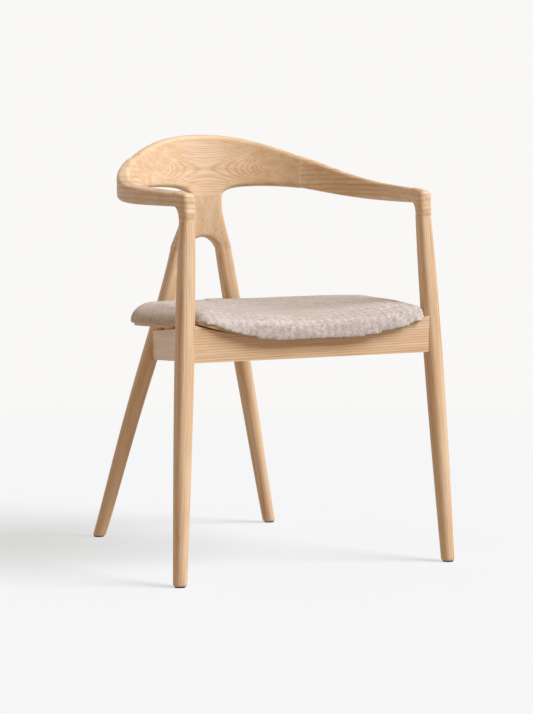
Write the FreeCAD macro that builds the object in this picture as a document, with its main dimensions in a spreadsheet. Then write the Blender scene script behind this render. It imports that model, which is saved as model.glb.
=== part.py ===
"""Wooden armchair with a one-piece curved crest and arms, a forked back and an upholstered saddle seat.

Frame: +Z up, the sitter faces -Y, origin on the floor under the middle of the chair, millimetres.
Every driving size is a cell of the sheet "Sizes"; bodies read it through expressions.
"""
import FreeCAD, Part
import math
import os
from FreeCAD import Placement, Rotation, Vector
from Sketcher import Constraint

doc = FreeCAD.newDocument("armchair")
sheet = doc.addObject("Spreadsheet::Sheet", "Sizes")

SIZES = {
    # bent rail: a circle seen from above, which the arms leave as nearly straight bars
    "bend_radius": 247.0,
    "bend_centre_setback": 60.0,
    "crest_half_angle": 44.4,
    "edge_round": 8.0,
    "elbow_inside_radius": 20.0,
    "elbow_outside_round": 14.0,
    # neck of the fork, where the crest stands on it
    "neck_height": 644.0,
    "neck_half_width": 35.4,
    "fork_foot_height": 548.0,
    # front legs: centre of the foot, centre of the top, and the height of the top
    "front_foot_across": 265.5,
    "front_foot_forward": 266.0,
    "front_top_across": 232.4,
    "front_top_forward": 228.6,
    "front_top_height": 614.0,
    # rear legs: centre of the foot and of the top, which meets the fork
    "rear_foot_across": 182.1,
    "rear_foot_back": 265.9,
    "rear_top_across": 46.2,
    "rear_top_back": 195.4,
    "glide_thickness": 1.8,
    "glide_diameter": 19.0,
    # rails
    "rail_thickness": 21.0,
    "front_rail_face": 253.0,
    "front_rail_underside": 377.0,
    "front_rail_middle_top": 409.0,
    "front_rail_end_top": 443.0,
    "front_rail_half_length": 244.0,
    "side_rail_height": 54.5,
    "side_rail_front_underside": 380.0,
    "side_rail_rear_underside": 338.0,
    "rear_rail_underside": 340.0,
    "rear_rail_height": 48.0,
    "rear_rail_forward_of_legs": 3.0,
    # seat
    "seat_radius": 238.0,
    "seat_back_edge": 175.0,
    "shell_thickness": 6.0,
    "cover_thickness": 1.6,
    # joinery
    "rail_dowel_diameter": 8.0,
    "rail_dowel_length": 36.0,
    "post_dowel_diameter": 12.0,
    "post_dowel_length": 50.0,
    "block_screw_diameter": 4.0,
    "block_screw_length": 34.0,
    "seat_screw_diameter": 5.0,
    "seat_screw_length": 40.0,
    "insert_diameter": 8.0,
    "insert_length": 4.4,
}
# leg sections from the floor up: part of the height, width across the flats, corner radius
# and how far the leg bows inwards and forwards there
FRONT_LEG = [
    (0.0, 24.4, 12.0, 0.0, 0.0),
    (0.16, 27.6, 13.2, 0.0, 0.0),
    (0.33, 30.2, 13.6, 0.0, 0.0),
    (0.62, 31.6, 12.2, 0.0, 0.0),
    (1.0, 25.4, 9.0, 0.0, 0.0),
]
REAR_LEG = [
    (0.0, 24.4, 12.0, 0.0, 0.0),
    (0.25, 27.8, 13.0, 0.0, 0.0),
    (0.5, 30.4, 13.0, 0.0, 1.0),
    (0.75, 31.6, 12.0, 1.9, 4.2),
    (1.0, 27.6, 9.0, 0.0, 0.0),
]

for kind, sections in (("front", FRONT_LEG), ("rear", REAR_LEG)):
    for number, (share, width, corner, inward, forward) in enumerate(sections):
        SIZES[f"{kind}_share_{number}_up"] = share
        SIZES[f"{kind}_width_{number}_across"] = width
        SIZES[f"{kind}_corner_{number}_round"] = corner
        SIZES[f"{kind}_bow_{number}_inward"] = inward
        SIZES[f"{kind}_bow_{number}_forward"] = forward
for row, (name, value) in enumerate(SIZES.items(), start=1):
    sheet.set(f"A{row}", name)
    sheet.set(f"B{row}", str(value))
    sheet.setAlias(f"B{row}", name)
doc.recompute()
SIDES = (("left", -1), ("right", 1))
UP = Vector(0, 0, 1)
nodes = {}


def size(name):
    return float(sheet.get(name))


def feature(label, shape):
    """A document object that holds a shape made with Part's own functions."""
    thing = doc.addObject("Part::Feature", label)
    thing.Shape = shape
    return thing


def finish(name, thing):
    """Names a document object as a finished sub-part."""
    thing.Label = name
    nodes[name] = thing
    return thing


def less(name, base, pegs, neighbours=()):
    """A finished sub-part: base with its peg holes, and its ends cut to the neighbours' faces."""
    reach = base.Shape.BoundBox
    holes = doc.addObject("Part::Compound", name + "_holes")
    holes.Links = [rod for rod in pegs if rod.Shape.BoundBox.intersect(reach)]
    result = base
    for number, tool in enumerate([holes, *neighbours]):
        cut = doc.addObject("Part::Cut", f"{name}_cut_{number}")
        cut.Base = result
        cut.Tool = tool
        result = cut
    return finish(name, result)


def group(name, members):
    """One node that holds several separate, like solids."""
    bundle = doc.addObject("Part::Compound", name + "_set")
    bundle.Links = members
    return finish(name, bundle)


def peg(name, middle, direction, diameter, length):
    """A round peg centred on a point; diameter and length are cells of the sheet."""
    rod = doc.addObject("Part::Cylinder", name)
    rod.setExpression("Radius", f"Sizes.{diameter} / 2")
    rod.setExpression("Height", f"Sizes.{length}")
    way = Vector(direction).normalize()
    rod.Placement = Placement(middle - way * (size(length) / 2), Rotation(UP, way))
    return rod


def origin_plane(body, role):
    return next(f for f in body.Origin.OriginFeatures if f.Role == role)


# ---------------------------------------------------------------- legs


def rounded_square(body, name, width_cell, corner_cell):
    """A sketch of a square with round corners, centred on its own origin."""
    sketch = body.newObject("Sketcher::SketchObject", name)
    sketch.AttachmentSupport = [(origin_plane(body, "XY_Plane"), "")]
    sketch.MapMode = "FlatFace"
    half = size(width_cell) / 2
    corner = size(corner_cell)
    flat = half - corner
    for quarter in range(4):
        turn = Rotation(UP, 90 * quarter)
        start = turn.multVec(Vector(-flat, -half, 0))
        end = turn.multVec(Vector(flat, -half, 0))
        sketch.addGeometry(Part.LineSegment(start, end))
        circle = Part.Circle(turn.multVec(Vector(flat, -flat, 0)), UP, corner)
        begin = math.radians(90 * (quarter - 1))
        sketch.addGeometry(Part.ArcOfCircle(circle, begin, begin + math.pi / 2))
    for quarter in range(4):
        line = 2 * quarter
        arc = line + 1
        following = (line + 2) % 8
        sketch.addConstraint(Constraint("Tangent", line, 2, arc, 1))
        sketch.addConstraint(Constraint("Tangent", arc, 2, following, 1))
        sketch.addConstraint(Constraint("Vertical" if quarter % 2 else "Horizontal", line))
        if quarter:
            sketch.addConstraint(Constraint("Equal", 1, arc))
    sketch.addConstraint(Constraint("Symmetric", 1, 3, 5, 3, -1, 1))
    radius = sketch.addConstraint(Constraint("Radius", 1, corner))
    across = sketch.addConstraint(Constraint("DistanceX", 6, 1, 2, 1, 2 * half))
    along = sketch.addConstraint(Constraint("DistanceY", 0, 1, 4, 1, 2 * half))
    sketch.setExpression(f"Constraints[{radius}]", f"Sizes.{corner_cell}")
    sketch.setExpression(f"Constraints[{across}]", f"Sizes.{width_cell}")
    sketch.setExpression(f"Constraints[{along}]", f"Sizes.{width_cell}")
    return sketch


def leg_blank(kind, side_name, side, count, top_height_cell, depth_sign, depth_word):
    """A leg lofted through level sections whose centres lie on its leaning axis."""
    body = doc.addObject("PartDesign::Body", f"{kind}_leg_{side_name}_blank")
    sketches = []
    foot_depth = f"Sizes.{kind}_foot_{depth_word}"
    top_depth = f"Sizes.{kind}_top_{depth_word}"
    for number in range(count):
        sketch = rounded_square(
            body,
            f"{kind}_{side_name}_section_{number}",
            f"{kind}_width_{number}_across",
            f"{kind}_corner_{number}_round",
        )
        share = f"Sizes.{kind}_share_{number}_up"
        bow = f"Sizes.{kind}_bow_{number}"
        foot = f"Sizes.{kind}_foot_across"
        top = f"Sizes.{kind}_top_across"
        base = "Sizes.glide_thickness"
        place = {
            "x": f"{side} * ({foot} + ({top} - {foot}) * {share} - {bow}_inward)",
            "y": f"{depth_sign} * ({foot_depth} + ({top_depth} - {foot_depth}) * {share}) - {bow}_forward",
            "z": f"{base} + (Sizes.{top_height_cell} - {base}) * {share}",
        }
        for axis, expression in place.items():
            sketch.setExpression(f".AttachmentOffset.Base.{axis}", expression)
        sketches.append(sketch)
    doc.recompute()
    loft = body.newObject("PartDesign::AdditiveLoft", f"{kind}_{side_name}_loft")
    loft.Profile = sketches[0]
    loft.Sections = sketches[1:]
    return body


def leg_axis(kind, side, height):
    """The centre of a leg at a height."""
    foot_y, top_y, top_z = {
        "front": (-size("front_foot_forward"), -size("front_top_forward"), size("front_top_height")),
        "rear": (size("rear_foot_back"), size("rear_top_back"), size("fork_foot_height")),
    }[kind]
    share = (height - size("glide_thickness")) / (top_z - size("glide_thickness"))
    foot_x = size(f"{kind}_foot_across")
    top_x = size(f"{kind}_top_across")
    return Vector(side * (foot_x + (top_x - foot_x) * share), foot_y + (top_y - foot_y) * share, height)


front_blank = {}
rear_blank = {}
for side_name, side in SIDES:
    front_blank[side_name] = leg_blank(
        "front", side_name, side, len(FRONT_LEG), "front_top_height", -1, "forward"
    )
    rear_blank[side_name] = leg_blank(
        "rear", side_name, side, len(REAR_LEG), "fork_foot_height", 1, "back"
    )
doc.recompute()

# ---------------------------------------------------------------- crest and fork

BEND_CENTRE = Vector(0, -size("bend_centre_setback"), 0)
# side view of the back at the middle: height, inner radius and outer radius about the bend's centre
BACK_PROFILE = [
    (540.0, 246.5, 278.0),
    (575.0, 241.0, 270.0),
    (610.0, 235.5, 262.5),
    (644.0, 232.2, 257.5),
    (672.0, 234.0, 256.5),
    (710.0, 238.8, 260.0),
    (775.0, 249.0, 268.5),
]


def spline(points):
    curve = Part.BSplineCurve()
    curve.interpolate([Vector(*p) for p in points])
    return curve.toShape()


def mirrored(points):
    """Points of a right half, from the middle out, made a whole from left to right."""
    left = [(-x, y, z) for x, y, z in reversed(points) if x > 0]
    return left + list(points)


def back_wall():
    """The leaning, bent wall that the crest and the fork are both cut from."""
    inner = spline([(0, r + BEND_CENTRE.y, z) for z, r, _ in BACK_PROFILE])
    outer = spline([(0, r + BEND_CENTRE.y, z) for z, _, r in BACK_PROFILE])
    low = Part.makeLine(inner.Vertexes[0].Point, outer.Vertexes[0].Point)
    high = Part.makeLine(inner.Vertexes[-1].Point, outer.Vertexes[-1].Point)
    face = Part.Face(Part.Wire(Part.sortEdges([inner, outer, low, high])[0]))
    half_angle = size("crest_half_angle")
    face.rotate(BEND_CENTRE, Vector(0, 0, 1), half_angle)
    return face.revolve(BEND_CENTRE, Vector(0, 0, 1), -2 * half_angle)


def wall_cut(outline_edges):
    """The back wall inside an elevation outline, which is drawn on the plane y = 0."""
    outline = Part.Face(Part.Wire(Part.sortEdges(outline_edges)[0]))
    prism = outline.extrude(Vector(0, 400, 0))
    return back_wall().common(prism).Solids[0]


def round_edges(solid, radius, keep):
    """Rounds every long edge between the wall's faces and its cut edge, apart from those keep() names."""
    chosen = []
    for edge in solid.Edges:
        middle = edge.valueAt((edge.FirstParameter + edge.LastParameter) / 2)
        tangent = edge.tangentAt((edge.FirstParameter + edge.LastParameter) / 2)
        outward = Vector(middle.x, middle.y - BEND_CENTRE.y, 0).normalize()
        if abs(tangent.dot(outward)) < 0.6 and not keep(middle):
            chosen.append(edge)
    return solid.makeFillet(radius, chosen)


def on_crest_end(point):
    angle = math.degrees(math.atan2(abs(point.x), point.y - BEND_CENTRE.y))
    return abs(angle - size("crest_half_angle")) < 0.05


# elevation outlines of the right half, from the middle out: across and height
CREST_TOP = [(0, 760), (50, 757.2), (95, 748.8), (150, 730), (200, 706)]
CREST_HIP = [(36.6, 649), (41, 653.5), (49, 657.5), (62, 660.6), (90, 663), (130, 663), (200, 655.5)]
FORK_FLANK = [(35.6, 634), (37.4, 618), (42.2, 600), (50.2, 575)]
FORK_ARCH = [(0, 568), (13, 565.6), (24.5, 558.2)]
FORK_FOOT_INSIDE = 32.7
FORK_FOOT_OUTSIDE = 59.9


def elevation(points, sign=1):
    """Points across and up as points of the plane y = 0, on the side that sign gives."""
    return [(sign * across, 0, height) for across, height in points]


def crest_shape():
    """The crest: a smile-shaped board of the bent wall, drawn down at the middle into the neck."""
    neck = size("neck_height")
    neck_half = size("neck_half_width")
    edges = [spline(mirrored(elevation(CREST_TOP)))]
    edges.append(Part.makeLine(Vector(-neck_half, 0, neck), Vector(neck_half, 0, neck)))
    for sign in (-1, 1):
        edges.append(spline(elevation([(neck_half, neck)] + CREST_HIP, sign)))
        end_top, end_low = elevation([CREST_TOP[-1], CREST_HIP[-1]], sign)
        edges.append(Part.makeLine(Vector(*end_top), Vector(*end_low)))
    crest = wall_cut(edges)
    return round_edges(crest, size("edge_round"), lambda p: on_crest_end(p) or abs(p.z - neck) < 0.05)


def fork_shape():
    """The fork: the neck's lower half, which parts over an arch into two feet for the rear legs."""
    neck = size("neck_height")
    neck_half = size("neck_half_width")
    foot = size("fork_foot_height")
    arch = mirrored(elevation(FORK_ARCH + [(FORK_FOOT_INSIDE, foot)]))
    edges = [spline(arch), Part.makeLine(Vector(-neck_half, 0, neck), Vector(neck_half, 0, neck))]
    for sign in (-1, 1):
        edges.append(spline(elevation([(neck_half, neck)] + FORK_FLANK + [(FORK_FOOT_OUTSIDE, foot)], sign)))
        inside, outside = elevation([(FORK_FOOT_INSIDE, foot), (FORK_FOOT_OUTSIDE, foot)], sign)
        edges.append(Part.makeLine(Vector(*inside), Vector(*outside)))
    fork = wall_cut(edges)
    return round_edges(fork, size("edge_round"), lambda p: abs(p.z - neck) < 0.05 or abs(p.z - foot) < 0.05)


crest_blank = feature("crest_blank", crest_shape())
fork_blank = feature("fork_blank", fork_shape())

# ---------------------------------------------------------------- arms


def rounded_quad(corners, radius):
    """A closed wire through four corners, each rounded by an arc."""
    edges = []
    ends = []
    for i, corner in enumerate(corners):
        before = (corners[i - 1] - corner).normalize()
        after = (corners[(i + 1) % 4] - corner).normalize()
        half_turn = before.getAngle(after) / 2
        reach = radius / math.tan(half_turn)
        centre = corner + (before + after).normalize() * (radius / math.sin(half_turn))
        start = corner + before * reach
        end = corner + after * reach
        middle = centre + (corner - centre).normalize() * radius
        ends.append((start, middle, end))
    for i, (start, middle, end) in enumerate(ends):
        edges.append(Part.Arc(start, middle, end).toShape())
        edges.append(Part.makeLine(end, ends[(i + 1) % 4][0]))
    return Part.Wire(edges)


def arm_path(angle_or_forward, side):
    """A point of the arm's centre line seen from above, and the unit vector that points outwards there.

    Angles up to 90 run round the bend; past 90 the value is millimetres forward of the bend's centre plus 90.
    """
    radius = size("bend_radius")
    if angle_or_forward <= 90:
        angle = math.radians(angle_or_forward)
        out = Vector(side * math.sin(angle), math.cos(angle), 0)
        return BEND_CENTRE + out * radius, out
    forward = angle_or_forward - 90
    reach = size("front_top_forward") - size("bend_centre_setback")
    narrowing = radius - size("front_top_across")
    across = radius - narrowing * (forward / reach) ** 1.5
    slope = 1.5 * narrowing / reach * (forward / reach) ** 0.5
    out = Vector(side, -slope, 0).normalize()
    return Vector(side * across, BEND_CENTRE.y - forward, 0), out


CREST_END = size("crest_half_angle")
# arm sections: place on the path, underside, top inside, top outside, inner and outer offsets low and high
ARM_STATIONS = [
    (CREST_END, 660.4, 719.6, 719.4, -13.6, 9.5, -6.3, 14.8),
    (57.0, 651.6, 703.4, 700.0, -12.6, 13.2, -7.6, 15.6),
    (73.0, 643.6, 685.5, 680.0, -11.6, 14.4, -9.6, 14.0),
    (92.0, 640.2, 675.4, 669.0, -11.4, 13.0, -10.4, 12.4),
    (150.0, 639.6, 671.6, 665.5, -12.0, 12.6, -11.6, 12.2),
    (200.0, 639.6, 668.8, 663.6, -12.6, 12.8, -12.4, 12.6),
    (226.0, 639.6, 667.4, 663.1, -12.7, 12.7, -12.6, 12.6),
]
ELBOW_TURNS = (18, 34, 45, 56, 72, 90)
ELBOW_ROUND_SPREAD = math.radians(16)


def arm_shape(side):
    """The arm is lofted along its path, then turned down at the elbow to stand on the leg."""
    radius = size("edge_round")
    bar = []
    for place, low, inside, outside, low_in, low_out, high_in, high_out in ARM_STATIONS:
        centre, out = arm_path(place, side)
        corners = [
            centre + out * low_in + UP * low,
            centre + out * low_out + UP * low,
            centre + out * high_out + UP * outside,
            centre + out * high_in + UP * inside,
        ]
        bar.append(rounded_quad(corners, radius))
    # the last station's values carry on round the elbow, which turns about a level axis
    inner_radius = size("elbow_inside_radius")
    pivot = centre + UP * (low - inner_radius)
    ahead = UP.cross(out) * -side
    top = leg_axis("front", side, size("front_top_height"))
    stub_half = size(f"front_width_{len(FRONT_LEG) - 1}_across") / 2
    rise = (inside + outside) / 2 - pivot.z
    depth = pivot.y - top.y + stub_half
    outer_corner = math.atan2(depth, rise)
    fan = [bar[-1]]
    for turn in ELBOW_TURNS:
        angle = math.radians(turn)
        way = UP * math.cos(angle) + ahead * math.sin(angle)
        reach = min(rise / max(math.cos(angle), 0.01), depth / max(math.sin(angle), 0.01))
        nearness = max(0.0, 1 - abs(angle - outer_corner) / ELBOW_ROUND_SPREAD)
        reach -= size("elbow_outside_round") * (math.sqrt(2) - 1) * nearness
        share = turn / 90
        tilt = (inside - outside) / 2 * (1 - share)
        shift = (top - centre).dot(out) * share
        half_in = -low_in * (1 - share) + stub_half * share
        half_out = low_out * (1 - share) + stub_half * share
        corners = [
            pivot + way * inner_radius + out * (shift - half_in),
            pivot + way * inner_radius + out * (shift + half_out),
            pivot + way * (reach - tilt) + out * (shift + half_out),
            pivot + way * (reach + tilt) + out * (shift - half_in),
        ]
        fan.append(rounded_quad(corners, radius + share))
    quarters = ((-side, 1), (side, 1), (side, -1), (-side, -1))
    corners = [top + Vector(across, back, 0) * stub_half for across, back in quarters]
    stub = [fan[-1], rounded_quad(corners, radius + 1)]
    pieces = [Part.makeLoft(bar, True, False), Part.makeLoft(fan, True, False), Part.makeLoft(stub, True, True)]
    whole = pieces[0].fuse(pieces[1:])
    return whole.Solids[0] if len(whole.Solids) == 1 else whole


arm_blank = {name: feature(f"arm_{name}_blank", arm_shape(side)) for name, side in SIDES}

# ---------------------------------------------------------------- rails


def board_sketch(body, name, role, corners, cells):
    """A closed polygon on an origin plane, with chosen corners held by cells of the sheet."""
    sketch = body.newObject("Sketcher::SketchObject", name)
    sketch.AttachmentSupport = [(origin_plane(body, role), "")]
    sketch.MapMode = "FlatFace"
    points = [Vector(x, y, 0) for x, y in corners]
    for i, point in enumerate(points):
        sketch.addGeometry(Part.LineSegment(point, points[(i + 1) % len(points)]))
    for i in range(len(points)):
        sketch.addConstraint(Constraint("Coincident", i, 2, (i + 1) % len(points), 1))
    for i, (x, y) in enumerate(corners):
        for kind, value, expression in (("DistanceX", x, cells[i][0]), ("DistanceY", y, cells[i][1])):
            index = sketch.addConstraint(Constraint(kind, -1, 1, i, 1, value))
            sketch.setExpression(f"Constraints[{index}]", expression)
    return sketch


def sloping_rail(name, start, end, front_low, rear_low, height_cell):
    """A board between two plan points, level or sloping, made as a padded elevation sketch."""
    body = doc.addObject("PartDesign::Body", name + "_blank")
    run = math.hypot(end.x - start.x, end.y - start.y)
    run_cell = f"{run:.3f}"
    tops = [f"Sizes.{front_low} + Sizes.{height_cell}", f"Sizes.{rear_low} + Sizes.{height_cell}"]
    corners = [
        (0, size(front_low)),
        (run, size(rear_low)),
        (run, size(rear_low) + size(height_cell)),
        (0, size(front_low) + size(height_cell)),
    ]
    cells = [("0", f"Sizes.{front_low}"), (run_cell, f"Sizes.{rear_low}"), (run_cell, tops[1]), ("0", tops[0])]
    sketch = board_sketch(body, name + "_elevation", "XZ_Plane", corners, cells)
    pad = body.newObject("PartDesign::Pad", name + "_pad")
    pad.Profile = sketch
    pad.setExpression("Length", "Sizes.rail_thickness")
    pad.Midplane = True
    turn = math.degrees(math.atan2(end.y - start.y, end.x - start.x))
    body.Placement = Placement(Vector(start.x, start.y, 0), Rotation(UP, turn))
    return body


# the front rail's top edge: distance across and the share of the rise from the middle to the ends
SCOOP = [(0, 0), (60, 0.05), (120, 0.235), (180, 0.57)]
SCOOP_END_SHARE = 1.05


def front_rail_shape():
    """The front rail, whose top edge is scooped to the sagging front edge of the seat."""
    low = size("front_rail_underside")
    reach = size("front_rail_half_length")
    middle = size("front_rail_middle_top")
    sag = size("front_rail_end_top") - middle
    half = [(x, middle + share * sag) for x, share in SCOOP + [(reach, SCOOP_END_SHARE)]]
    edges = [spline(mirrored(elevation(half)))]
    edges.append(Part.makeLine(Vector(-reach, 0, low), Vector(reach, 0, low)))
    for sign in (-1, 1):
        edges.append(Part.makeLine(Vector(sign * reach, 0, low), Vector(sign * reach, 0, half[-1][1])))
    face = Part.Face(Part.Wire(Part.sortEdges(edges)[0]))
    board = face.extrude(Vector(0, size("rail_thickness"), 0))
    board.translate(Vector(0, -size("front_rail_face"), 0))
    return board


SIDE_RAIL_FRONT = Vector(240, -236, 0)
SIDE_RAIL_REAR = Vector(86.5, 204, 0)
rail_blank = {"front_rail": feature("front_rail_blank", front_rail_shape())}
for side_name, side in SIDES:
    rail_blank[f"side_rail_{side_name}"] = sloping_rail(
        f"side_rail_{side_name}",
        Vector(side * SIDE_RAIL_FRONT.x, SIDE_RAIL_FRONT.y, 0),
        Vector(side * SIDE_RAIL_REAR.x, SIDE_RAIL_REAR.y, 0),
        "side_rail_front_underside",
        "side_rail_rear_underside",
        "side_rail_height",
    )
rear_middle = leg_axis("rear", 1, size("rear_rail_underside") + size("rear_rail_height") / 2)
rear_rail_y = rear_middle.y - size("rear_rail_forward_of_legs")
rail_blank["rear_rail"] = sloping_rail(
    "rear_rail",
    Vector(-rear_middle.x, rear_rail_y, 0),
    Vector(rear_middle.x, rear_rail_y, 0),
    "rear_rail_underside",
    "rear_rail_underside",
    "rear_rail_height",
)
doc.recompute()

# ---------------------------------------------------------------- seat

# saddle surfaces: distance behind the bend's centre line y, height on the middle line, rise at the flanks
SEAT_TOP = [(-300, 441.5, 14), (-250, 443.5, 21), (-154, 441, 33), (-40, 442, 32), (60, 447, 24), (190, 455, 6)]
SHELL_UNDERSIDE = [(-300, 410, 35.5), (-250, 410, 34.5), (-150, 412.5, 20.5), (-60, 412, 14)]
SHELL_UNDERSIDE += [(60, 407, 15), (190, 402, 15)]
FLANK = 230.0
SADDLE_COLUMNS = (-270, -230, -175, -115, -55, 0, 55, 115, 175, 230, 270)
TOP_POWER = 2.0
SHELL_POWER = 2.2
# seat outline from above, right half from the middle of the front edge round to the flank
SEAT_EDGE = [(0, -274), (100, -271.5), (170, -266.5), (208, -262.5), (223, -255.5), (223.4, -240), (224, -222)]
SEAT_EDGE += [(230.5, -170), (236.5, -110)]
SEAT_MIDDLE = Vector(0, -70, 0)
SHELL_INSET = 5.0
COLUMN_FOOT = 340.0
TALL = Vector(0, 0, 200)


def saddle(stations, power, lift=0.0):
    """A face through level rows of a dished surface; the rise grows with a power of the distance across."""
    rows = []
    for y, middle, rise in stations:
        rows.append([Vector(x, y, middle + rise * (abs(x) / FLANK) ** power + lift) for x in SADDLE_COLUMNS])
    surface = Part.BSplineSurface()
    surface.interpolate(rows)
    return surface.toShape()


def seat_outline(inset):
    """The seat seen from above: a round back and flanks that run forward to a gently bowed front edge."""
    radius = size("seat_radius") - inset
    centre_y = size("seat_back_edge") - size("seat_radius")
    ends = [Vector(-radius, centre_y, 0), Vector(radius, centre_y, 0)]
    back = Part.Arc(ends[1], Vector(0, centre_y + radius, 0), ends[0]).toShape()
    points = [Vector(*point) for point in mirrored([(x, y, 0) for x, y in SEAT_EDGE])]
    pulled = [point - (point - SEAT_MIDDLE).normalize() * inset for point in points]
    front = Part.BSplineCurve()
    straight = Vector(0, -1, 0)
    route = [ends[0]] + pulled + [ends[1]]
    front.interpolate(Points=route, InitialTangent=straight, FinalTangent=straight * -1)
    return Part.Face(Part.Wire([back, front.toShape()]))


def seat_column(inset):
    column = seat_outline(inset).extrude(TALL)
    column.translate(UP * COLUMN_FOOT)
    return column


# how the cushion's side draws in as it rises: height and inset from the seat's outline
CUSHION_SIDE = [(395, 0), (434, 0), (446, 2.5), (455, 8), (463, 18), (469, 32), (474, 56)]


def cushion_hull(skin):
    """The cushion's rounded side, lofted through level outlines that shrink as they rise."""
    wires = []
    for height, inset in CUSHION_SIDE:
        wire = seat_outline(inset + skin).OuterWire
        wire.translate(Vector(0, 0, height - skin * (inset > 0)))
        wires.append(wire)
    return Part.makeLoft(wires, True, False)


above_shell = saddle(SHELL_UNDERSIDE, SHELL_POWER, size("shell_thickness")).extrude(TALL)
sheet_band = saddle(SHELL_UNDERSIDE, SHELL_POWER).extrude(UP * size("shell_thickness"))
shell = seat_column(SHELL_INSET).common(sheet_band)
cover = size("cover_thickness")
pads = {}
for name, skin in (("cover", 0.0), ("foam", cover)):
    over = saddle(SEAT_TOP, TOP_POWER, -skin).extrude(TALL)
    pads[name] = cushion_hull(skin).common(above_shell).cut(over)
shell_blank = feature("shell_blank", shell)
finish("seat_foam", feature("seat_foam_pad", pads["foam"]))
finish("seat_cover", feature("seat_cover_skin", pads["cover"].cut(pads["foam"])))

# ---------------------------------------------------------------- dowels and glides

cuts = {}


def joint_pegs(node, places, diameter, length, *parts):
    """Pegs that two parts share: one node for the pegs, and the holes for them in both parts."""
    pegs = [peg(f"{node}_{i}", middle, way, diameter, length) for i, (middle, way) in enumerate(places)]
    group(node, pegs)
    for part in parts:
        cuts.setdefault(part, []).extend(pegs)


POST = ("post_dowel_diameter", "post_dowel_length")
RAIL = ("rail_dowel_diameter", "rail_dowel_length")
SCARF_HEIGHTS = (677.0, 703.0)
SCARF_OUT = (0.0, 2.0)
NECK_DOWEL_ACROSS = 16.0
NECK_DOWEL_RADIUS = 244.5
for side_name, side in SIDES:
    front_way = leg_axis("front", side, 1) - leg_axis("front", side, 0)
    rear_way = leg_axis("rear", side, 1) - leg_axis("rear", side, 0)
    arm = f"arm_{side_name}"
    front_leg = f"front_leg_{side_name}"
    rear_leg = f"rear_leg_{side_name}"
    elbow = leg_axis("front", side, size("front_top_height"))
    joint_pegs(f"elbow_dowel_{side_name}", [(elbow, front_way)], *POST, arm, front_leg)
    fork_foot = leg_axis("rear", side, size("fork_foot_height"))
    joint_pegs(f"fork_dowel_{side_name}", [(fork_foot, rear_way)], *POST, "back_fork", rear_leg)
    centre, out = arm_path(CREST_END, side)
    along = UP.cross(out)
    scarf = [(centre + out * shift + UP * height, along) for shift, height in zip(SCARF_OUT, SCARF_HEIGHTS)]
    joint_pegs(f"scarf_dowels_{side_name}", scarf, *RAIL, "crest_rail", arm)
neck_y = BEND_CENTRE.y + NECK_DOWEL_RADIUS
neck = [(Vector(sign * NECK_DOWEL_ACROSS, neck_y, size("neck_height")), UP) for sign in (-1, 1)]
joint_pegs("neck_dowels", neck, *RAIL, "crest_rail", "back_fork")

# rail dowels: their heights, and how far each one's middle stands from the leg's axis or the rail's end
FRONT_DOWEL_HEIGHTS = (388, 428)
FRONT_DOWEL_FROM_AXIS = 16
SIDE_DOWELS = {"front": (20, (400, 414)), "rear": (12, (358, 384))}
REAR_DOWEL_HEIGHTS = (349, 371)
REAR_DOWEL_FROM_AXIS = 18
ACROSS = Vector(1, 0, 0)
front_rail_y = -size("front_rail_face") + size("rail_thickness") / 2
rail_way = (SIDE_RAIL_REAR - SIDE_RAIL_FRONT).normalize()
front_ends = []
rear_ends = []
for side_name, side in SIDES:
    for height in FRONT_DOWEL_HEIGHTS:
        across = leg_axis("front", 1, height).x - FRONT_DOWEL_FROM_AXIS
        front_ends.append((Vector(side * across, front_rail_y, height), ACROSS))
    for height in REAR_DOWEL_HEIGHTS:
        rear_ends.append((Vector(side * (rear_middle.x - REAR_DOWEL_FROM_AXIS), rear_rail_y, height), ACROSS))
    way = Vector(side * rail_way.x, rail_way.y, 0)
    side_ends = []
    for end, point, inward in (("front", SIDE_RAIL_FRONT, 1), ("rear", SIDE_RAIL_REAR, -1)):
        step, heights = SIDE_DOWELS[end]
        start = Vector(side * point.x, point.y, 0) + way * (inward * step)
        side_ends += [(start + UP * height, way) for height in heights]
    rail = f"side_rail_{side_name}"
    joint_pegs(f"{rail}_dowels", side_ends, *RAIL, rail, f"front_leg_{side_name}", f"rear_leg_{side_name}")
joint_pegs("front_rail_dowels", front_ends, *RAIL, "front_rail", "front_leg_left", "front_leg_right")
joint_pegs("rear_rail_dowels", rear_ends, *RAIL, "rear_rail", "rear_leg_left", "rear_leg_right")

for kind in ("front", "rear"):
    for side_name, side in SIDES:
        foot = leg_axis(kind, side, 0)
        glide = doc.addObject("Part::Cylinder", f"glide_{kind}_{side_name}")
        glide.setExpression("Radius", "Sizes.glide_diameter / 2")
        glide.setExpression("Height", "Sizes.glide_thickness")
        glide.Placement = Placement(foot, Rotation())
        finish(f"foot_glide_{kind}_{side_name}", glide)

# ---------------------------------------------------------------- corner blocks, screws and inserts

BLOCK_TOP_GAP = 0.2
BLOCK_BLANK_TOP = 450.0
# each corner block: reach along the cross rail and along the side rail, height of its underside,
# place of the seat screw from the corner, and how far along each rail its own screws enter
BLOCKS = {
    "front": {"reach": (72, 72), "low": 384.0, "seat_screw": (27, 20), "side_screw": 40, "cross_screw": 44},
    "rear": {"reach": (62, 96), "low": 344.0, "seat_screw": (9, 64), "side_screw": 46, "cross_screw": 36},
}
SIDE_SCREW_RISE = 14.0
CROSS_SCREW_RISE = 26.0
BLOCK_SCREW_SHIFT = 1.5
SEAT_SCREW_BITE = 5.0
INSERT_DEPTH = 0.8

block_screws = []
seat_screws = []
inserts = []
sockets = []


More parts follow.
